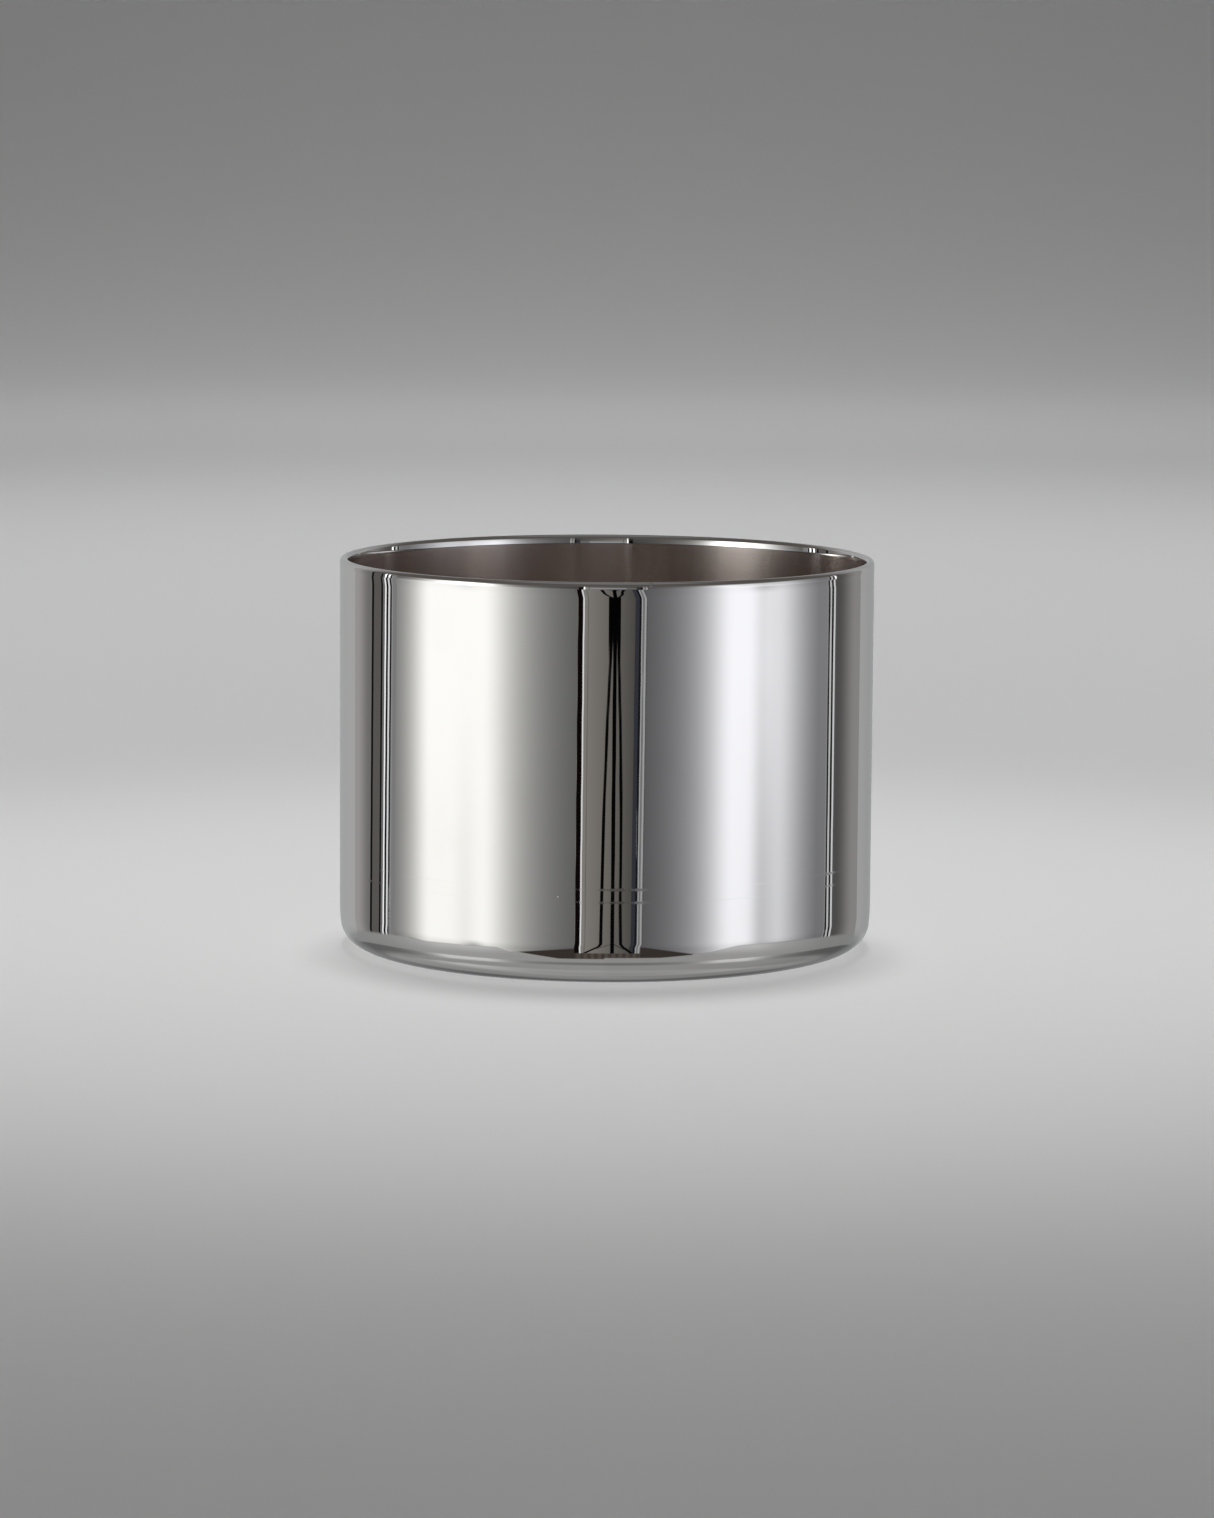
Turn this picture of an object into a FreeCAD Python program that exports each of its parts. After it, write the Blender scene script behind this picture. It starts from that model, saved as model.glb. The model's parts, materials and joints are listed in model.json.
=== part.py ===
import FreeCAD, Part
import math
import os

# A straight-sided candle tin, empty and open at the top. It is one cup, deep drawn from
# polished sheet steel, with its cut edge rolled inward into a fine bead round the mouth.
# The underside is pressed up into a shallow recess, which holds a bonded silicone pad.
# Units are millimetres. The origin is the middle of the surface that the tin stands on,
# and +Z points up, out of the mouth.

# Driving dimensions of the cup
WALL_RADIUS = 42.4        # outside of the straight wall
CUP_HEIGHT = 61.8         # from the standing ring to the top of the bead
SHEET = 0.4               # thickness of the steel, the same all over
CORNER_RADIUS = 4.05      # outside of the bend between wall and base
TOE_BEND = (6.0, 28.0)    # angle in degrees and radius of the easing from corner to wall

# The rim: the wall leans out a little over the rolled edge that is tucked behind it. A
# crease turns it back in, the bead's outer face and the roll go over the top, and a nearly
# upright flange comes down inside. Each is an angle in degrees, positive inward, and the
# radius of the outer skin.
RIM_BENDS = (
    (-2.8, 26.0),         # lean
    (4.3, 0.5),           # crease
    (9.0, 3.3),           # outer face of the bead
    (161.5, 0.64),        # roll
    (4.0, 12.2),          # flange inside the mouth
)

# Driving dimensions of the base and its pad
RING_WIDTH = 1.6          # flat of the ring that surrounds the recess
RECESS_DEPTH = 1.0        # how far the middle of the base is pressed up
RECESS_SLOPE = 50.0       # steepness of the recess's side, in degrees
RECESS_BEND = 0.8         # radius of the two bends in the recess's side, on their hollow side
PAD_RADIUS = 33.0
PAD_THICKNESS = 1.5
PAD_EDGE = 0.35           # rounding of the pad's lower edge

# What follows from them
PAD_PROUD = PAD_THICKNESS - RECESS_DEPTH
AXIS = FreeCAD.Vector(0, 0, 1)
ORIGIN = FreeCAD.Vector(0, 0, 0)


def point(r, z):
    """A point of a section, at radius r and height z."""
    return FreeCAD.Vector(r, 0, z)


def line(a, b):
    return Part.LineSegment(a, b).toShape()


def polar(centre, radius, angle):
    """The point at that angle, in radians, on a circle in the section's plane."""
    return centre + point(radius * math.cos(angle), radius * math.sin(angle))


def arc(centre, radius, start, end):
    """An arc between two angles, in radians, in the section's plane."""
    middle = polar(centre, radius, (start + end) / 2)
    return Part.Arc(polar(centre, radius, start), middle, polar(centre, radius, end)).toShape()


def revolved(edges):
    """The solid that a closed section makes when it turns round the axis."""
    return Part.Face(Part.Wire(edges)).revolve(ORIGIN, AXIS, 360)


class SheetSection:
    """The section of a bent sheet, followed along its outer skin. The inner skin lies one
    sheet thickness to the left. A positive bend turns left, towards the inner skin."""

    def __init__(self, start):
        self.at = start
        self.heading = 0.0
        self.outer = []
        self.inner = []

    def left(self):
        return point(-math.sin(self.heading), math.cos(self.heading))

    def run(self, length):
        end = self.at + point(math.cos(self.heading), math.sin(self.heading)) * length
        skin = self.left() * SHEET
        self.outer.append(line(self.at, end))
        self.inner.append(line(self.at + skin, end + skin))
        self.at = end

    def bend(self, degrees, radius):
        """radius is the outer skin's, whichever way the bend turns."""
        turn = math.radians(degrees)
        side = math.copysign(1, turn)
        centre = self.at + self.left() * (side * radius)
        start = self.heading - side * math.pi / 2
        self.outer.append(arc(centre, radius, start, start + turn))
        self.inner.append(arc(centre, radius - side * SHEET, start, start + turn))
        self.at = polar(centre, radius, start + turn)
        self.heading += turn

    def closed(self):
        """The section's edges in order: outer skin, cut edge, inner skin, and the axis."""
        cut = line(self.at, self.at + self.left() * SHEET)
        inner_start = self.inner[0].Vertexes[0].Point
        outer_start = self.outer[0].Vertexes[0].Point
        return self.outer + [cut] + self.inner[::-1] + [line(inner_start, outer_start)]


def toe():
    """How far the corner and its easing reach inward and upward, in that order."""
    angle, radius = math.radians(TOE_BEND[0]), TOE_BEND[1]
    inward = CORNER_RADIUS * math.cos(angle) + radius * (1 - math.cos(angle))
    upward = CORNER_RADIUS * (1 - math.sin(angle)) + radius * math.sin(angle)
    return inward, upward


def add_base(section):
    """From the axis out to the foot of the wall: panel, side of the recess, ring, corner."""
    slope = math.radians(RECESS_SLOPE)
    radii = 2 * RECESS_BEND + SHEET
    slope_length = (RECESS_DEPTH - radii * (1 - math.cos(slope))) / math.sin(slope)
    side_width = radii * math.sin(slope) + slope_length * math.cos(slope)
    section.run(WALL_RADIUS - toe()[0] - RING_WIDTH - side_width)
    section.bend(-RECESS_SLOPE, RECESS_BEND)
    section.run(slope_length)
    section.bend(RECESS_SLOPE, RECESS_BEND + SHEET)
    section.run(RING_WIDTH)
    section.bend(90 - TOE_BEND[0], CORNER_RADIUS)
    section.bend(*TOE_BEND)


def add_rim(section):
    for angle, radius in RIM_BENDS:
        section.bend(angle, radius)


def rim_height():
    """Height of the rim above the straight wall."""
    trial = SheetSection(point(WALL_RADIUS, 0))
    trial.heading = math.pi / 2
    add_rim(trial)
    return max(edge.optimalBoundingBox().ZMax for edge in trial.outer)


def cup():
    section = SheetSection(point(0, PAD_PROUD + RECESS_DEPTH))
    add_base(section)
    section.run(CUP_HEIGHT - toe()[1] - rim_height())
    add_rim(section)
    return revolved(section.closed())


def pad():
    rounding = point(PAD_RADIUS - PAD_EDGE, PAD_EDGE)
    return revolved([
        line(point(0, 0), point(PAD_RADIUS - PAD_EDGE, 0)),
        arc(rounding, PAD_EDGE, -math.pi / 2, 0),
        line(point(PAD_RADIUS, PAD_EDGE), point(PAD_RADIUS, PAD_THICKNESS)),
        line(point(PAD_RADIUS, PAD_THICKNESS), point(0, PAD_THICKNESS)),
        line(point(0, PAD_THICKNESS), point(0, 0)),
    ])


os.makedirs("parts", exist_ok=True)
cup().exportStep("parts/tin_cup.step")
pad().exportStep("parts/base_pad.step")
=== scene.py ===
import json
import math
import bpy
import numpy as np
from mathutils import Matrix, Vector


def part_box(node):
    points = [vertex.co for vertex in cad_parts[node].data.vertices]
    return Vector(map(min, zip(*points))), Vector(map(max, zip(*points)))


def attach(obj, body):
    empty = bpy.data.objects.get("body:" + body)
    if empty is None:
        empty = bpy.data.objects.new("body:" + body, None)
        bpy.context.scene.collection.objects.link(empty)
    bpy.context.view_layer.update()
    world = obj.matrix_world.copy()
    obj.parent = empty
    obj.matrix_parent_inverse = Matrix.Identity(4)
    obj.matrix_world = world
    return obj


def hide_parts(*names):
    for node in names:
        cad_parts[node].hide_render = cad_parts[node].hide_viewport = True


# A candle tin: one drawn cup of mirror-polished steel and the silicone pad under it.
# Lengths are metres unless a name ends in _MM; the origin is under the middle of the pad.

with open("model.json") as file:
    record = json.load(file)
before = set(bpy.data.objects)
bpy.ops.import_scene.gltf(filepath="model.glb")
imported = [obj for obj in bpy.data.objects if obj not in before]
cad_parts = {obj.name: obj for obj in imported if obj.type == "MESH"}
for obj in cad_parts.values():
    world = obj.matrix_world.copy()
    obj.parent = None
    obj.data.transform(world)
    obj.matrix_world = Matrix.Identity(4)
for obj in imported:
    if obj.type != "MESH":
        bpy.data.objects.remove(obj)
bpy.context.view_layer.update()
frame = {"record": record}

MM = 0.001

# The cup's sheet, as the CAD has it. A bend is an angle in degrees, positive inward, and the
# outer skin's radius in millimetres. A bend of the rim also has its number of rows of faces.
SHEET_MM = 0.4
WALL_RADIUS_MM = 42.4
CORNER_RADIUS_MM = 4.05
TOE_BEND = (6.0, 28.0)
RING_WIDTH_MM = 1.6
RECESS_DEPTH_MM = 1.0
RECESS_SLOPE = 50.0
RECESS_BEND_MM = 0.8
RIM_BENDS = (
    (-2.8, 26.0, 6),      # lean
    (4.3, 0.5, 4),        # crease
    (9.0, 3.3, 8),        # outer face of the bead
    (161.5, 0.64, 48),    # roll
    (4.0, 12.2, 14),      # flange inside the mouth
)
EDGE_ROUND_MM = 0.04      # rounding of the sheet's cut edge
EDGE_STEPS = 3
ROLL_HEADING = math.pi / 2 + 0.2    # past this heading the inner skin is the roll's
PAD_EDGE_MM = 0.35
SEGMENTS = 240            # faces round the axis

# Colour of the polished steel, outside
STEEL = (0.72, 0.69, 0.66)

# Handling marks on the outside. Azimuths are degrees from the front, positive to the right.
RUB_HEIGHTS = (0.0154, 0.0134)
RUB_HALF_WIDTH = 0.00035
NICK, NICK_RADIUS = (-9.5, 0.0142), 0.0003            # azimuth and height
RIM_NICK, RIM_NICK_RADIUS = (9.0, 0.0621), 0.0005
LONG_SCRATCH = (-13.0, 0.0489, 0.0076, 0.04)          # azimuth, middle, half length, lean
HAIR_HALF_WIDTH = 6e-5

# The camera
CAMERA_DISTANCE = 0.848
CAMERA_ELEVATION = math.radians(7.3)
CAMERA_ROLL = math.radians(0.375)
CAMERA_LENS, CAMERA_SENSOR = 126.0, 36.0              # millimetres
CAMERA_SHIFT = (0.0007, -0.0058)


def placed(name, data):
    """A new object in the scene, at the origin."""
    new = bpy.data.objects.new(name, data)
    bpy.context.scene.collection.objects.link(new)
    return new


# ---------------------------------------------------------------- the camera

cup_low, cup_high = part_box("tin_cup")
pad_low, pad_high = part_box("base_pad")
aim = Vector((0, 0, (cup_low.z + cup_high.z) / 2))
back = Vector((0, -math.cos(CAMERA_ELEVATION), math.sin(CAMERA_ELEVATION)))
camera_data = bpy.data.cameras.new("camera")
camera_data.lens = CAMERA_LENS
camera_data.sensor_width = CAMERA_SENSOR
camera_data.shift_x, camera_data.shift_y = CAMERA_SHIFT
camera_data.clip_start, camera_data.clip_end = 0.01, 20.0
camera = placed("camera", camera_data)
turn = (-back).to_track_quat("-Z", "Y").to_matrix() @ Matrix.Rotation(CAMERA_ROLL, 3, "Z")
camera.matrix_world = Matrix.Translation(aim + back * CAMERA_DISTANCE) @ turn.to_4x4()
bpy.context.scene.camera = camera


# ---------------------------------------------------------------- mesh helpers

def turned(name, rows, finishes):
    """A closed piece turned round the axis. rows are (radius, height, normal out, normal up,
    finish) from one pole to the other; the first and last row lie on the axis."""
    angles = np.arange(SEGMENTS) * (2 * math.pi / SEGMENTS)
    across, along = np.cos(angles), np.sin(angles)
    verts = [(0.0, 0.0, rows[0][1])]
    normals = [(0.0, 0.0, rows[0][3])]
    for radius, height, out, up, _ in rows[1:-1]:
        verts += zip(radius * across, radius * along, np.full(SEGMENTS, height))
        normals += zip(out * across, out * along, np.full(SEGMENTS, up))
    verts.append((0.0, 0.0, rows[-1][1]))
    normals.append((0.0, 0.0, rows[-1][3]))
    last = len(verts) - 1
    faces = []
    slots = []
    for k in range(SEGMENTS):
        faces.append((0, 1 + (k + 1) % SEGMENTS, 1 + k))
        slots.append(rows[1][4])
    for row in range(1, len(rows) - 2):
        first, second = 1 + (row - 1) * SEGMENTS, 1 + row * SEGMENTS
        for k in range(SEGMENTS):
            n = (k + 1) % SEGMENTS
            faces.append((first + k, first + n, second + n, second + k))
            slots.append(rows[row + 1][4])
    first = 1 + (len(rows) - 3) * SEGMENTS
    for k in range(SEGMENTS):
        faces.append((first + k, first + (k + 1) % SEGMENTS, last))
        slots.append(rows[-1][4])
    mesh = bpy.data.meshes.new(name)
    mesh.from_pydata([tuple(map(float, v)) for v in verts], [], faces)
    mesh.polygons.foreach_set("use_smooth", [True] * len(faces))
    for finish in finishes:
        mesh.materials.append(finish)
    mesh.polygons.foreach_set("material_index", slots)
    mesh.update()
    mesh.normals_split_custom_set_from_vertices([tuple(map(float, n)) for n in normals])
    return placed(name, mesh)


# ---------------------------------------------------------------- node helpers

class Finish:
    """A material with a Principled shader, and short calls for the nodes that feed it."""

    def __init__(self, name):
        self.material = bpy.data.materials.new(name)
        self.material.use_nodes = True
        self.tree = self.material.node_tree
        self.tree.nodes.clear()
        self.shader = self.tree.nodes.new("ShaderNodeBsdfPrincipled")
        out = self.tree.nodes.new("ShaderNodeOutputMaterial")
        self.tree.links.new(self.shader.outputs[0], out.inputs["Surface"])
        self.place = self.tree.nodes.new("ShaderNodeTexCoord").outputs["Object"]

    def feed(self, socket, value):
        """Link a node's output to the socket, or set the socket to a plain value."""
        if isinstance(value, bpy.types.NodeSocket):
            self.tree.links.new(value, socket)
        else:
            socket.default_value = value

    def set(self, **sockets):
        """Feed sockets of the shader by name, with _ for each space."""
        for name, value in sockets.items():
            self.feed(self.shader.inputs[name.replace("_", " ")], value)

    def math(self, operation, *values):
        node = self.tree.nodes.new("ShaderNodeMath")
        node.operation = operation
        for socket, value in zip(node.inputs, values):
            self.feed(socket, value)
        return node.outputs[0]

    def vector_math(self, operation, first, second=None):
        node = self.tree.nodes.new("ShaderNodeVectorMath")
        node.operation = operation
        self.feed(node.inputs[0], first)
        if second is not None:
            self.feed(node.inputs[1], second)
        return node

    def sum(self, *terms):
        total = terms[0]
        for term in terms[1:]:
            total = self.math("ADD", total, term)
        return total

    def weighted(self, *layers):
        """The sum of (value, weight) layers."""
        return self.sum(*[self.math("MULTIPLY", value, weight) for value, weight in layers])

    def scaled(self, scale):
        return self.vector_math("MULTIPLY", self.place, scale).outputs[0]

    def noise(self, scale, detail=2.0, roughness=0.5):
        """Noise between 0 and 1, with that many cells per metre along x, y and z."""
        node = self.tree.nodes.new("ShaderNodeTexNoise")
        node.inputs["Scale"].default_value = 1.0
        node.inputs["Detail"].default_value = detail
        node.inputs["Roughness"].default_value = roughness
        self.feed(node.inputs["Vector"], self.scaled(scale))
        return node.outputs["Fac"]

    def step(self, value, start, end, low=0.0, high=1.0):
        """low up to start, high from end on, and smooth between them."""
        node = self.tree.nodes.new("ShaderNodeMapRange")
        node.interpolation_type = "SMOOTHSTEP"
        self.feed(node.inputs["Value"], value)
        node.inputs["From Min"].default_value = start
        node.inputs["From Max"].default_value = end
        node.inputs["To Min"].default_value = low
        node.inputs["To Max"].default_value = high
        return node.outputs["Result"]

    def tints(self, value, first, second):
        """A colour that goes from first to second as value goes from 0 to 1."""
        node = self.tree.nodes.new("ShaderNodeMix")
        node.data_type = "RGBA"
        self.feed(node.inputs["Factor"], value)
        node.inputs[6].default_value = (*first, 1.0)
        node.inputs[7].default_value = (*second, 1.0)
        return node.outputs[2]

    def near(self, spot, radius):
        """1 at a point of the surface, falling to 0 at that distance from it."""
        distance = self.vector_math("DISTANCE", self.place, spot).outputs["Value"]
        return self.step(distance, 0.0, radius, 1.0, 0.0)

    def away(self, value, level):
        """How far the value is from a level, either way."""
        return self.math("ABSOLUTE", self.math("SUBTRACT", value, level))

    def height(self):
        node = self.tree.nodes.new("ShaderNodeSeparateXYZ")
        self.feed(node.inputs[0], self.place)
        return node.outputs["Z"]

    def radius(self):
        return self.vector_math("LENGTH", self.scaled((1.0, 1.0, 0.0))).outputs["Value"]

    def upright_line(self, azimuth, middle, half_length, lean):
        """1 along a hair-fine line on the outside of the wall, and 0 elsewhere."""
        a = math.radians(azimuth)
        normal = (math.cos(a), math.sin(a), lean)
        across = self.vector_math("DOT_PRODUCT", self.place, normal).outputs["Value"]
        thin = self.step(self.away(across, middle * lean), 0.0, HAIR_HALF_WIDTH, 1.0, 0.0)
        ends = self.step(self.away(self.height(), middle), half_length * 0.6, half_length, 1.0, 0.0)
        # The same plane cuts the wall at the back too, so only the part near the middle counts
        front = self.near(on_wall(azimuth, middle), half_length * 1.5)
        front = self.step(front, 0.0, 0.05)
        return self.math("MULTIPLY", self.math("MULTIPLY", thin, ends), front)

    def relief(self, *layers):
        """Bump from (height between 0 and 1, depth in metres) layers."""
        node = self.tree.nodes.new("ShaderNodeBump")
        node.inputs["Strength"].default_value = 1.0
        node.inputs["Distance"].default_value = 1.0
        self.feed(node.inputs["Height"], self.weighted(*layers))
        self.set(Normal=node.outputs[0])


def on_wall(azimuth, height):
    """A point on the outside of the wall, by azimuth in degrees from the front."""
    a = math.radians(azimuth)
    radius = WALL_RADIUS_MM * MM
    return (radius * math.sin(a), -radius * math.cos(a), height)


def polished_steel():
    """The outside of the wall and the rim: a mirror with faint draw lines and handling marks."""
    f = Finish("steel_mirror")
    smudge = f.noise((70, 70, 55), detail=4.0, roughness=0.6)
    draw_lines = f.noise((1500, 1500, 22), detail=2.0)
    turning = f.noise((9, 9, 3200), detail=2.0)
    scratch = f.step(f.noise((2600, 2600, 60), detail=1.0), 0.735, 0.79)
    wave = f.noise((120, 120, 40), detail=1.0)
    height = f.height()
    rub = f.sum(*[f.step(f.away(height, level), 0.0, RUB_HALF_WIDTH, 1.0, 0.0)
                  for level in RUB_HEIGHTS])
    rub = f.math("MULTIPLY", rub, f.step(f.noise((60, 60, 200), detail=2.0), 0.42, 0.6))
    nick = f.near(on_wall(*NICK), NICK_RADIUS)
    rim_nick = f.near(on_wall(*RIM_NICK), RIM_NICK_RADIUS)
    long_scratch = f.upright_line(*LONG_SCRATCH)
    dirt = f.step(smudge, 0.45, 0.75)
    marks = f.weighted((dirt, 0.014), (draw_lines, 0.008), (scratch, 0.09), (rub, 0.13),
                       (long_scratch, 0.12), (nick, 0.3))
    f.set(Metallic=1.0, Roughness=f.sum(marks, 0.012),
          Base_Color=f.tints(dirt, STEEL, (0.70, 0.668, 0.636)))
    f.relief((wave, 3e-7), (draw_lines, 2.5e-8), (turning, 4e-9), (scratch, 3e-7),
             (long_scratch, 1e-6), (nick, 4e-5), (rim_nick, 6e-5))
    return f.material


def inner_steel():
    """Inside the cup: the same steel, polished round and round, which draws each light into
    an upright streak, with worn upright streaks and faint circles on its bottom. Its colour
    is painted shade: a darker, browner copy of the outside steel's colour."""
    f = Finish("steel_inside")
    smudge = f.noise((60, 60, 45), detail=4.0, roughness=0.6)
    turning = f.noise((14, 14, 2600), detail=2.0)
    ring_wave = f.math("SINE", f.math("MULTIPLY", f.radius(), 5200.0))
    rings = f.math("MULTIPLY", ring_wave, f.step(f.height(), 0.0022, 0.0034, 1.0, 0.0))
    dirt = f.step(smudge, 0.42, 0.72)
    streaks = f.step(f.noise((800, 800, 9), detail=3.0), 0.4, 0.62)
    worn = f.weighted((dirt, 0.45), (streaks, 0.55))
    around = f.tree.nodes.new("ShaderNodeTangent")
    around.direction_type = "RADIAL"
    around.axis = "Z"
    # Painted shade: both colours are darker, browner copies of STEEL; smudges and streaks vary them
    f.set(Metallic=1.0, Roughness=f.sum(f.weighted((dirt, 0.03), (turning, 0.04)), 0.2),
          Base_Color=f.tints(worn, (0.74, 0.65, 0.6), (0.68, 0.58, 0.53)),
          Anisotropic=1.0, Anisotropic_Rotation=0.25, Tangent=around.outputs[0])
    f.relief((turning, 4e-8), (rings, 1.5e-6))
    return f.material


def satin_steel():
    """The underside: satin, with the circles left by the press tool and some scuffs."""
    f = Finish("steel_underside")
    scuff = f.noise((240, 240, 240), detail=5.0, roughness=0.65)
    rings = f.math("SINE", f.math("MULTIPLY", f.radius(), 7800.0))
    worn = f.step(scuff, 0.5, 0.7)
    f.set(Metallic=1.0,
          Roughness=f.sum(f.weighted((worn, 0.16)), 0.2),
          Base_Color=f.tints(worn, (0.70, 0.67, 0.64), (0.60, 0.575, 0.55)))
    f.relief((rings, 1.2e-6), (scuff, 4e-6))
    return f.material


def silicone():
    """The pad: matte black silicone with a moulded grain and a little dust in it."""
    f = Finish("silicone_moulded")
    grain = f.noise((5200, 5200, 5200), detail=2.0)
    cloud = f.noise((150, 150, 150), detail=4.0)
    dust = f.step(f.noise((3800, 3800, 3800), detail=1.0), 0.68, 0.76)
    dusty = f.weighted((dust, 0.5), (cloud, 0.4))
    f.set(Roughness=f.sum(f.weighted((cloud, 0.2)), 0.55),
          Base_Color=f.tints(dusty, (0.042, 0.042, 0.044), (0.085, 0.083, 0.08)),
          Specular_IOR_Level=0.35, Sheen_Weight=0.08)
    f.relief((grain, 2.5e-5), (cloud, 4e-5))
    return f.material


# ---------------------------------------------------------------- the cup

# Places of the three finishes in the cup's material slots
MIRROR, INSIDE, UNDERSIDE = 0, 1, 2


def cup_path():
    """The outer skin from the axis to the cut edge, as (kind, size, radius, rows, finish). The
    size of a run is its length, and that of a bend is its angle in degrees."""
    slope = math.radians(RECESS_SLOPE)
    radii = 2 * RECESS_BEND_MM + SHEET_MM
    slope_length = (RECESS_DEPTH_MM - radii * (1 - math.cos(slope))) / math.sin(slope)
    side_width = radii * math.sin(slope) + slope_length * math.cos(slope)
    easing, easing_radius = math.radians(TOE_BEND[0]), TOE_BEND[1]
    toe = CORNER_RADIUS_MM * math.cos(easing) + easing_radius * (1 - math.cos(easing))
    panel = WALL_RADIUS_MM - toe - RING_WIDTH_MM - side_width
    wall = frame_wall_length() / MM
    path = [
        ("run", panel, 0, 8, UNDERSIDE),
        ("bend", -RECESS_SLOPE, RECESS_BEND_MM, 12, UNDERSIDE),
        ("run", slope_length, 0, 2, UNDERSIDE),
        ("bend", RECESS_SLOPE, RECESS_BEND_MM + SHEET_MM, 14, UNDERSIDE),
        ("run", RING_WIDTH_MM, 0, 4, UNDERSIDE),
        ("bend", 90.0 - TOE_BEND[0], CORNER_RADIUS_MM, 38, MIRROR),
        ("bend", *TOE_BEND, 10, MIRROR),
        ("run", wall, 0, 26, MIRROR),
    ]
    path += [("bend", angle, radius, rows, MIRROR) for angle, radius, rows in RIM_BENDS]
    return path


def frame_wall_length():
    """The length of the straight wall, which the record gives with its mount."""
    for mount in frame["record"]["mounts"]:
        if mount["name"] == "outer_wall":
            return mount["dims"]["length_mm"] * MM
    raise ValueError("the record has no outer_wall mount")


def direction(angle):
    """A unit step in the section's plane, where the real part is out and the other is up."""
    return complex(math.cos(angle), math.sin(angle))


def outer_skin():
    """Points along the outer skin: (place, heading, finish)."""
    at, heading = complex(0, 0), 0.0
    skin = [(at, heading, UNDERSIDE)]
    for kind, size, radius, rows, finish in cup_path():
        start, first = at, heading
        if kind == "run":
            for k in range(1, rows + 1):
                at = start + size * k / rows * direction(heading)
                skin.append((at, heading, finish))
            continue
        turned_by = math.radians(size)
        centre = start + math.copysign(radius, turned_by) * 1j * direction(first)
        for k in range(1, rows + 1):
            angle = turned_by * k / rows
            at = centre + (start - centre) * direction(angle)
            heading = first + angle
            skin.append((at, heading, finish))
    return skin


def cut_edge(end, heading):
    """The two rounded corners of the sheet's cut edge: (place, normal, finish)."""
    ahead = direction(heading)
    rows = []
    for offset, first in ((EDGE_ROUND_MM, -math.pi / 2), (SHEET_MM - EDGE_ROUND_MM, 0.0)):
        centre = end - EDGE_ROUND_MM * ahead + offset * 1j * ahead
        for k in range(EDGE_STEPS + 1):
            normal = ahead * direction(first + math.pi / 2 * k / EDGE_STEPS)
            rows.append((centre + EDGE_ROUND_MM * normal, normal, MIRROR))
    return rows


def cup_rows():
    """The cup's section: up the outer skin, over the cut edge, and back down the inner skin."""
    skin = outer_skin()
    rows = [(at, -1j * direction(heading), finish) for at, heading, finish in skin[:-1]]
    end, heading, _ = skin[-1]
    rows += cut_edge(end, heading)
    for at, heading, _ in skin[-2::-1]:
        normal = 1j * direction(heading)
        finish = MIRROR if heading > ROLL_HEADING else INSIDE
        rows.append((at + SHEET_MM * normal, normal, finish))
    base = cup_low.z / MM + RECESS_DEPTH_MM
    return [(p.real * MM, (p.imag + base) * MM, n.real, n.imag, finish) for p, n, finish in rows]


tin_cup = turned("tin_cup_visual", cup_rows(), [polished_steel(), inner_steel(), satin_steel()])
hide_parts("tin_cup")
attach(tin_cup, "root")


# ---------------------------------------------------------------- the pad

def pad_rows():
    """The pad's section: its underside, moulded lower edge, side, finer upper edge and top."""
    low, high, outer = pad_low.z, pad_high.z, pad_high.x
    edge = PAD_EDGE_MM * MM
    top_edge = edge / 5
    rings, low_steps, top_steps = 8, 8, 4
    rows = [(0.0, low, 0.0, -1.0, 0)]
    rows += [((outer - edge) * k / rings, low, 0.0, -1.0, 0) for k in range(1, rings)]
    for k in range(low_steps + 1):
        a = math.pi / 2 * k / low_steps
        rows.append((outer - edge + edge * math.sin(a), low + edge - edge * math.cos(a),
                     math.sin(a), -math.cos(a), 0))
    for k in range(top_steps + 1):
        a = math.pi / 2 * k / top_steps
        rows.append((outer - top_edge + top_edge * math.cos(a),
                     high - top_edge + top_edge * math.sin(a), math.cos(a), math.sin(a), 0))
    rows += [((outer - top_edge) * k / rings, high, 0.0, 1.0, 0) for k in range(rings - 1, 0, -1)]
    rows.append((0.0, high, 0.0, 1.0, 0))
    return rows


base_pad = turned("base_pad_visual", pad_rows(), [silicone()])
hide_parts("base_pad")
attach(base_pad, "root")


# ---------------------------------------------------------------- the reflected studio
# A large shell that only mirrors see. Its light depends on the direction: azimuth in degrees
# from the camera's side, positive to the right, and elevation above the horizon. Light is
# linear, as the mirror should show it. The angles and levels describe what the tin in the
# photo mirrors: they were read off it, then set by eye and by measure against renders. What
# faces away from the camera is a guess.

SHELL_RADIUS = 4.0

WARM, NEUTRAL, COOL = (1.05, 0.98, 0.93), (1.0, 1.0, 1.0), (0.9, 0.95, 1.2)
BEIGE, RUST = (1.05, 0.985, 0.9), (1.3, 0.8, 0.75)

# Azimuths of each diffuser's two edges. The gap with the tripod is between them.
LEFT_DIFFUSER, RIGHT_DIFFUSER = (-101.9, -12.3), (16.6, 108.6)
WOOD_END = 94.0           # past this azimuth, on either side, no wood shows

# The stands lean: degrees sideways for each degree down, at these azimuths. UPRIGHTS gives
# their azimuths at LEAN_PIVOT degrees below the horizon.
LEAN_AZIMUTHS, LEANS = (-110, -12, 16, 110), (0.4, 0.15, 0.28, 0.06)
LEAN_PIVOT = 7.2

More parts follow.
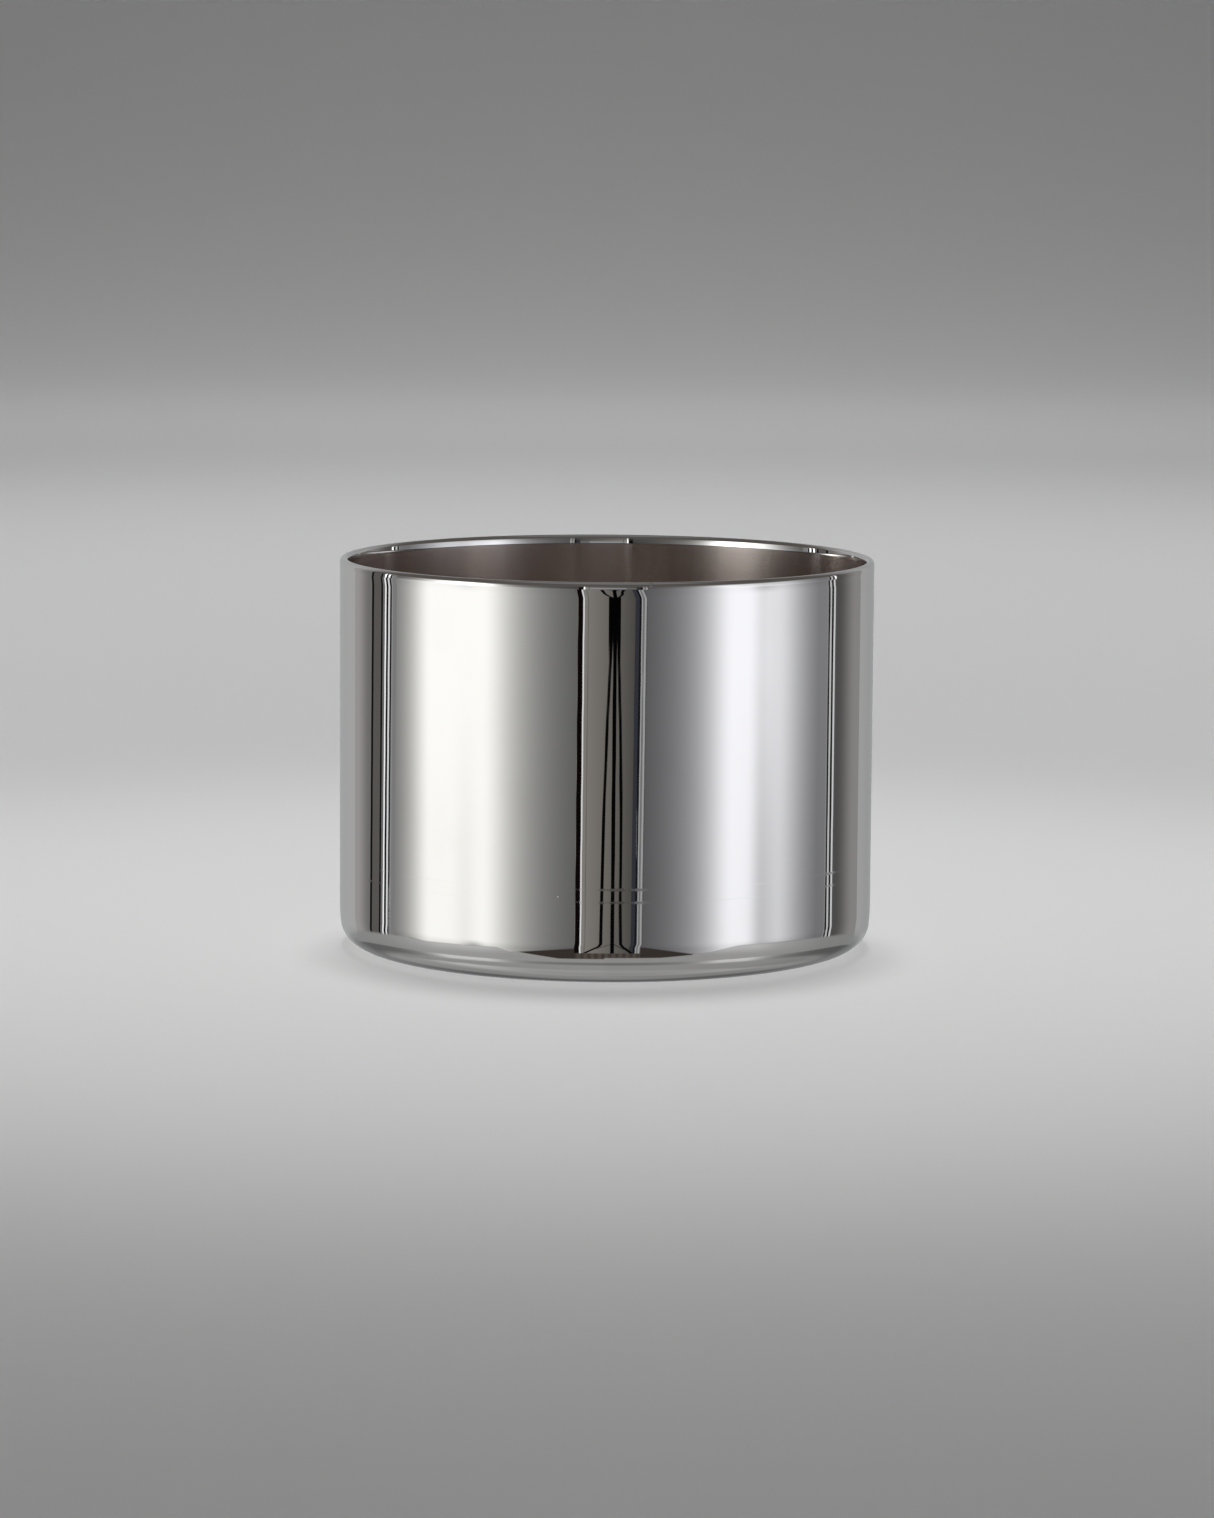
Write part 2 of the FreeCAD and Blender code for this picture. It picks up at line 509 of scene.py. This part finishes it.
# Upright edges of diffusers, stands and their gaps: azimuth from and to, light, tint
UPRIGHTS = (
    (-121.0, -119.2, 0.006, NEUTRAL), (-119.2, -113.3, 0.087, WARM),
    (-113.3, -111.9, 0.006, NEUTRAL), (-111.9, -110.35, 0.13, NEUTRAL),
    (-110.35, -109.3, 0.85, NEUTRAL), (-109.3, -107.8, 0.008, NEUTRAL),
    (-107.8, -106.6, 0.65, NEUTRAL), (-106.6, -105.4, 0.008, NEUTRAL),
    (-105.4, -104.4, 0.24, NEUTRAL), (-104.4, -101.9, 0.185, NEUTRAL),
    (-12.25, -10.15, 0.003, RUST), (-10.15, -9.55, 0.66, NEUTRAL), (-8.15, -7.75, 0.12, BEIGE),
    (11.5, 13.2, 0.032, COOL), (13.2, 14.15, 0.008, COOL),
    (14.15, 14.6, 0.34, NEUTRAL), (14.6, 15.4, 0.155, NEUTRAL),
    (15.4, 16.15, 0.33, NEUTRAL), (16.15, 16.6, 0.075, NEUTRAL),
    (108.6, 109.6, 0.21, NEUTRAL), (109.6, 110.75, 0.008, NEUTRAL),
    (110.75, 112.05, 0.46, NEUTRAL), (112.05, 113.6, 0.015, NEUTRAL),
    (113.6, 114.95, 0.55, NEUTRAL), (114.95, 116.0, 0.078, NEUTRAL),
)

# The tripod in the gap, its head first and then each stretch of its legs: azimuth and
# elevation of the upper end, then of the lower end, and half the width
TRIPOD = (
    (3.4, -3.8, 3.4, -5.9, 2.6),
    (1.9, -5.85, 0.5, -6.8, 0.62), (0.5, -6.8, -0.8, -8.05, 0.62), (-0.8, -8.05, -1.4, -9.1, 0.62),
    (-1.4, -9.1, -2.5, -11.2, 0.7), (-2.5, -11.2, -8.8, -15.6, 0.8),
    (3.55, -5.9, 3.2, -9.1, 0.8), (3.2, -9.1, 3.2, -24.0, 0.8),
    (5.1, -5.85, 5.94, -6.8, 0.61), (5.94, -6.8, 6.6, -8.05, 0.61), (6.6, -8.05, 6.4, -9.1, 0.61),
    (6.4, -9.1, 7.4, -11.2, 0.7), (7.4, -11.2, 11.4, -15.6, 0.8),
    (3.4, -9.5, -4.5, -13.0, 0.3), (3.4, -9.5, 8.0, -13.0, 0.3),
)


def lobe(azimuth, left, right, left_fall, right_fall, level):
    """Light of a lamp behind a diffuser: even between left and right, then falling off."""
    away = np.where(azimuth < left, (left - azimuth) / left_fall,
                    np.maximum(azimuth - right, 0) / right_fall)
    return level / (1 + away * away)


def ease(value, start, end):
    """0 up to start, 1 from end on, and smooth between them."""
    t = np.clip((value - start) / (end - start), 0, 1)
    return t * t * (3 - 2 * t)


def bell(value, middle, width):
    """1 at the middle, falling off on both sides."""
    return np.exp(-((value - middle) / width) ** 2)


def within(azimuth, edges):
    return (azimuth >= edges[0]) & (azimuth <= edges[1])


def mixed(first, second, share):
    """From the first colour at share 0 to the second at share 1."""
    return first + (second - first) * np.asarray(share, float)[..., None]


def tone(level, tint=NEUTRAL):
    """A level of light as RGB."""
    return np.asarray(level, float)[..., None] * np.array(tint)


def room_light(azimuth, elevation):
    """The backdrop behind the tin, and the darker sides of the room next to it, with a softly
    lit band high up."""
    side = np.abs(azimuth)
    left = np.where(side < 137.8, 0.14 + 0.13 * ease(side, 122, 135),
                    0.33 - 0.04 * ease(side, 140, 165))
    right = np.where(side < 140.3, 0.068 + 0.14 * ease(side, 117, 135),
                     0.302 - 0.045 * ease(side, 141, 160))
    level = np.where(azimuth < 0, left, right)
    level = level + 0.2 * ease(elevation, 42, 52) * (1 - ease(elevation, 68, 78))
    sides, backdrop = tone(level, (1.04, 0.99, 0.97)), tone(level, (1.01, 1.0, 0.98))
    return mixed(sides, backdrop, ease(side, 134, 142))


def gap_light(azimuth, elevation):
    """The beige room between the diffusers, with a grey patch just above the horizon."""
    beige = np.clip(0.185 - 0.0058 * (azimuth + 9), 0.05, 0.2)
    patch = ease(elevation, 0.5, 2) * (1 - ease(elevation, 5, 8))
    glow = np.where(azimuth < 8, 0.26, 0.14)
    return mixed(tone(beige, BEIGE), tone(glow, (0.97, 0.99, 1.03)), patch)


def diffuser_light(azimuth, elevation):
    """Two large diffusers, left and right of the camera. Each is brightest near its lamp, and
    has a dip where its stand shades its lower part."""
    low = ease(-elevation, 5.6, 9.6)
    foot = ease(-elevation, 10, 14.5)
    high = ease(elevation, -3, 4)
    fade = (1 - 0.05 * low) * (1 - 0.2 * foot)
    left = lobe(azimuth, -80, -54.5, 11.2, 14.5, 0.96) + 0.015
    left = left * (1 - 0.1 * low * bell(azimuth, -62, 5))
    left = left * (1 - 0.5 * foot * bell(azimuth, -58, 3 + 2 * foot))
    left = left * (1 + high * (2.1 * bell(azimuth, -62, 13) - 0.55))
    # The right one has two lamps behind it
    one = lobe(azimuth, 56, 62, 13, 12, 0.93)
    two = lobe(azimuth, 74, 77, 9, 15, 0.72)
    right = np.maximum((one ** 4 + two ** 4) ** 0.25 + 0.012, 0.195 * ease(azimuth, 95, 101))
    right = right * (1 - 0.27 * low * bell(azimuth, 71, 6.5))
    right = right * (1 - 0.1 * low * ease(azimuth, 70, 85))
    right = right * (1 - high * (0.2 - 0.3 * bell(azimuth, 48, 9)))
    return np.where((azimuth < 0)[..., None], tone(left * fade, (1.01, 1.0, 0.965)),
                    tone(right * fade, (0.985, 0.985, 1.02)))


def table_light(azimuth, elevation):
    """The grey table: lit by the diffusers, with a bright ring close to the tin, and darker
    behind it. down is the angle below the horizon."""
    down = -elevation
    side = np.abs(azimuth)
    left = azimuth < 0
    near = np.where(left, 0.25 - 0.035 * ease(side, 85, 115), 0.242 - 0.044 * ease(side, 80, 118))
    pools = lobe(azimuth, -74, -56, 14, 14, 1.0) + lobe(azimuth, 56, 66, 14, 14, 1.0)
    pools = np.minimum(pools, 1)
    # Not in the photo: contrast for the views from above, whose wall mirrors this band
    band = ease(down, 21, 23) * (1 - ease(down, 31, 36))
    near = near + band * (0.24 * pools ** 2 - 0.12 * (1 - pools))
    near = near + pools * (0.055 * (1 - ease(down, 18, 46)) + 0.15 * (1 - ease(down, 13.5, 18.5)))
    ring = 57 - np.where(left, 0.19 * np.maximum(side - 30, 0), 0.37 * np.maximum(side - 92, 0))
    glow = np.where(left, 0.045 + 0.145 * bell(side, 85, 22), 0.038 + 0.065 * bell(side, 97, 22))
    lit = ease(down, ring - 1.5, ring + 1.5) * (1 - 0.8 * ease(down, ring + 2, ring + 24))
    near = near + glow * lit
    behind = 0.30 - 0.13 * ease(down, 13, 22) - 0.08 * ease(down, 28, 50) \
        + 0.11 * ease(down, 52, 67) + 0.04 * ease(down, 67, 85)
    level = near + (behind - near) * ease(side, 136, 160)
    return tone(level, (1.0, 0.995, 0.98))


def add_uprights(light, upright, elevation):
    """The stands and gaps. The brightest of them glare more towards the horizon."""
    for start, end, level, tint in UPRIGHTS:
        strip = (upright >= start) & (upright < end)
        glare = 1 + (1.2 * ease(elevation, -3, 2) if level > 0.5 else 0)
        light = np.where(strip[..., None], tone(level * glare, tint), light)
    return light


def add_tripod(light, azimuth, elevation):
    for top_azimuth, top, foot_azimuth, foot, half in TRIPOD:
        t = (elevation - top) / (foot - top)
        middle = top_azimuth + (foot_azimuth - top_azimuth) * t
        leg = (t >= 0) & (t <= 1) & (np.abs(azimuth - middle) < half)
        light = np.where(leg[..., None], tone(0.001), light)
    return light


def add_ceiling(light, azimuth, elevation):
    """The diffusers end under a dark, warm ceiling, which is grey overhead."""
    behind = ease(np.abs(azimuth), 112, 130)
    above = ease(elevation, 6 + 14 * behind, 15 + 30 * behind)
    light = mixed(light, tone(0.075, (1.1, 1.0, 0.9)), above)
    return mixed(light, tone(0.16), ease(elevation, 60, 74))


def add_ground(light, azimuth, elevation, in_gap):
    """Dark wood under the diffusers and in the gap, then the table. foot and table are how far
    below the horizon the wood and the table start."""
    side = np.abs(azimuth)
    left = azimuth < 0
    down = -elevation
    inner_left, inner_right = LEFT_DIFFUSER[1] - azimuth, azimuth - RIGHT_DIFFUSER[0]
    foot_left = 12.6 + 0.13 * np.clip(inner_left, 0, 29) - 2.5 * ease(inner_left, 28, 36) \
        - 1.0 * ease(inner_left, 70, 82)
    foot_right = 11.9 + 0.22 * np.clip(inner_right, 0, 21) - 3.6 * ease(inner_right, 24, 46)
    foot = np.where(side > WOOD_END, 12.9, np.where(left, foot_left, foot_right))
    foot = np.where(in_gap, 15.6, foot)
    table = np.where(left, 19.3 - 0.19 * np.maximum(-azimuth - 20, 0),
                     18.6 - 0.1 * np.maximum(azimuth - 24, 0) - 0.6 * np.maximum(azimuth - 38, 0))
    table = np.maximum(table, foot)
    boards = 0.052 + 0.014 * np.sin(azimuth * 2.1)
    wood = tone(np.where(in_gap, boards, 0.03), (1.15, 0.95, 0.8))
    light = mixed(light, wood, ease(down, foot - 0.3, foot + 0.3) * (side < WOOD_END))
    soft = np.where(side > WOOD_END, 0.5 + 1.5 * ease(side, 130, 150), 0.3)
    return mixed(light, table_light(azimuth, elevation), ease(down, table - soft, table + soft))


def studio_light(azimuth, elevation):
    """Linear light wanted in the mirror, as an array of RGB."""
    lean = np.interp(azimuth, LEAN_AZIMUTHS, LEANS)
    upright = azimuth + lean * (np.clip(-elevation, 4, 12) - LEAN_PIVOT)
    in_gap = (upright > LEFT_DIFFUSER[1]) & (upright < RIGHT_DIFFUSER[0])
    diffusers = within(upright, LEFT_DIFFUSER) | within(upright, RIGHT_DIFFUSER)
    light = room_light(azimuth, elevation)
    light = np.where(in_gap[..., None], gap_light(azimuth, elevation), light)
    light = np.where(diffusers[..., None], diffuser_light(azimuth, elevation), light)
    light = add_uprights(light, upright, elevation)
    light = add_tripod(light, azimuth, elevation)
    light = add_ceiling(light, azimuth, elevation)
    return add_ground(light, azimuth, elevation, in_gap)


def emitter():
    """A material that gives off the light stored in the mesh."""
    material = bpy.data.materials.new("studio_light")
    material.use_nodes = True
    tree = material.node_tree
    tree.nodes.clear()
    attribute = tree.nodes.new("ShaderNodeAttribute")
    attribute.attribute_name = "light"
    emission = tree.nodes.new("ShaderNodeEmission")
    out = tree.nodes.new("ShaderNodeOutputMaterial")
    tree.links.new(attribute.outputs["Color"], emission.inputs["Color"])
    tree.links.new(emission.outputs[0], out.inputs["Surface"])
    material.cycles.emission_sampling = "NONE"
    return material


def studio_shell():
    """The shell, finest where the main view mirrors it. Its light is divided by the steel's
    colour, so that one bounce off the steel gives back studio_light."""
    azimuth = np.arange(-180, 180, 0.15)
    elevation = np.concatenate([np.arange(-90, -30, 3.0), np.arange(-30, -3, 0.25),
                                np.arange(-3, 30, 1.5), np.arange(30, 90.1, 3.0)])
    az, el = np.meshgrid(azimuth, elevation)
    a, e = np.radians(az), np.radians(el)
    points = np.stack([np.sin(a) * np.cos(e), -np.cos(a) * np.cos(e), np.sin(e)], -1) * SHELL_RADIUS
    points[..., 2] += aim.z
    rows, columns = az.shape
    index = np.arange(rows * columns).reshape(rows, columns)
    after = np.roll(index, -1, 1)
    quads = np.stack([index[:-1], after[:-1], after[1:], index[1:]], -1).reshape(-1, 4)
    mesh = bpy.data.meshes.new("studio_shell")
    mesh.vertices.add(points.size // 3)
    mesh.vertices.foreach_set("co", points.astype(np.float32).ravel())
    mesh.loops.add(quads.size)
    mesh.loops.foreach_set("vertex_index", quads.astype(np.int32).ravel())
    mesh.polygons.add(len(quads))
    mesh.polygons.foreach_set("loop_start", np.arange(0, quads.size, 4, dtype=np.int32))
    mesh.update(calc_edges=True)
    light = studio_light(az, el) / np.array(STEEL)
    colour = mesh.color_attributes.new("light", "FLOAT_COLOR", "POINT")
    rgba = np.concatenate([light, np.ones(light.shape[:-1] + (1,))], -1)
    colour.data.foreach_set("color", rgba.astype(np.float32).ravel())
    mesh.materials.append(emitter())
    shell = placed("studio_shell", mesh)
    shell.visible_camera = False
    shell.visible_diffuse = False
    shell.visible_transmission = False
    shell.visible_volume_scatter = False
    shell.visible_shadow = False


studio_shell()


# ---------------------------------------------------------------- floor and lamps

# Pools of light under and behind the tin: name, place on the floor, reach, power
SPOT_HEIGHT = 3.0
MAIN_POOLS = (
    ("spot_near", (0.0, 0.0), 0.26, 72.0), ("spot_behind", (0.0, 0.35), 0.8, 106.0),
)
WIDE_POOL = ("spot_wide", (0.0, 0.45), 1.6, 107.0)

# Pools beside the tin and in front of it, which only the views from other sides see. Those to
# the right have a twin to the left. The powers of all the pools and of the wall lamps come
# from least-squares fits of the floor's brightness, rounded, and some were then changed.
SIDE_POOLS = (
    ("spot_side", (0.44, 0.0), 0.37, 66.0), ("spot_side_far", (1.25, 0.0), 0.9, 179.0),
    ("spot_corner", (0.5, -0.5), 0.43, 97.0), ("spot_corner_far", (0.95, -0.95), 0.55, 65.0),
    ("spot_front", (0.0, -0.64), 0.32, 60.0), ("spot_front_far", (0.0, -1.0), 0.66, 60.0),
    ("spot_front_wall", (0.0, -1.5), 1.0, 155.0),
)
WALL_LAMP_SIZE, WALL_LAMP_POWER = 0.4, 2.7


def floor():
    """A pale floor that curves up, far away, into a wall all round."""
    flat, cove, top = 1.5, 1.3, 3.2
    cove_rows, count = 24, 96
    profile = [(0.0, 0.0), (0.3, 0.0), (flat, 0.0)]
    for k in range(1, cove_rows + 1):
        a = math.pi / 2 * k / cove_rows
        profile.append((flat + cove * math.sin(a), cove - cove * math.cos(a)))
    profile.append((flat + cove, top))
    verts = [(0.0, 0.0, 0.0)]
    for radius, height in profile[1:]:
        for k in range(count):
            a = 2 * math.pi * k / count
            verts.append((radius * math.cos(a), radius * math.sin(a), height))
    faces = [(0, 1 + k, 1 + (k + 1) % count) for k in range(count)]
    for row in range(len(profile) - 2):
        first, second = 1 + row * count, 1 + (row + 1) * count
        for k in range(count):
            n = (k + 1) % count
            faces.append((first + k, second + k, second + n, first + n))
    mesh = bpy.data.meshes.new("floor")
    mesh.from_pydata(verts, [], faces)
    mesh.polygons.foreach_set("use_smooth", [True] * len(faces))
    f = Finish("floor_pale")
    f.set(Roughness=0.9, Base_Color=(0.8, 0.8, 0.8, 1.0), Specular_IOR_Level=0.1)
    mesh.materials.append(f.material)
    surface = placed("floor", mesh)
    surface.visible_glossy = False


def hidden_light(name, data):
    """A lamp that lights the floor and shows neither to the camera nor in the steel."""
    light = placed(name, data)
    light.visible_glossy = False
    light.visible_camera = False
    return light


def lamp(name, place, target, size, power):
    """A round lamp that faces its target."""
    data = bpy.data.lights.new(name, "AREA")
    data.shape = "DISK"
    data.size = size
    data.energy = power
    light = hidden_light(name, data)
    light.location = place
    light.rotation_euler = (Vector(target) - Vector(place)).to_track_quat("-Z", "Y").to_euler()


def spot(name, place, reach, power, size=0.04, shadow=False):
    """A soft round pool of light on the floor, from a lamp straight above it."""
    data = bpy.data.lights.new(name, "SPOT")
    data.spot_size = 2 * math.atan(reach / SPOT_HEIGHT)
    data.spot_blend = 1.0
    data.shadow_soft_size = size
    data.energy = power
    data.use_shadow = shadow
    hidden_light(name, data).location = (*place, SPOT_HEIGHT)


floor()
for pool in MAIN_POOLS:
    spot(*pool)
spot(*WIDE_POOL, size=0.35, shadow=True)    # the one that draws the tin's soft shadow
for name, (right, away), reach, power in SIDE_POOLS:
    spot(name, (right, away), reach, power)
    if right > 0:
        spot(name + "_left", (-right, away), reach, power)
for quarter in range(4):
    around = Matrix.Rotation(math.pi / 2 * quarter, 3, "Z")
    lamp("lamp_wall", around @ Vector((0.0, 1.2, 0.9)), around @ Vector((0.0, 2.1, 0.05)),
         WALL_LAMP_SIZE, WALL_LAMP_POWER)


# ---------------------------------------------------------------- how light travels

scene = bpy.context.scene
scene.view_settings.view_transform = "Standard"
scene.cycles.max_bounces = 32
scene.cycles.glossy_bounces = 32
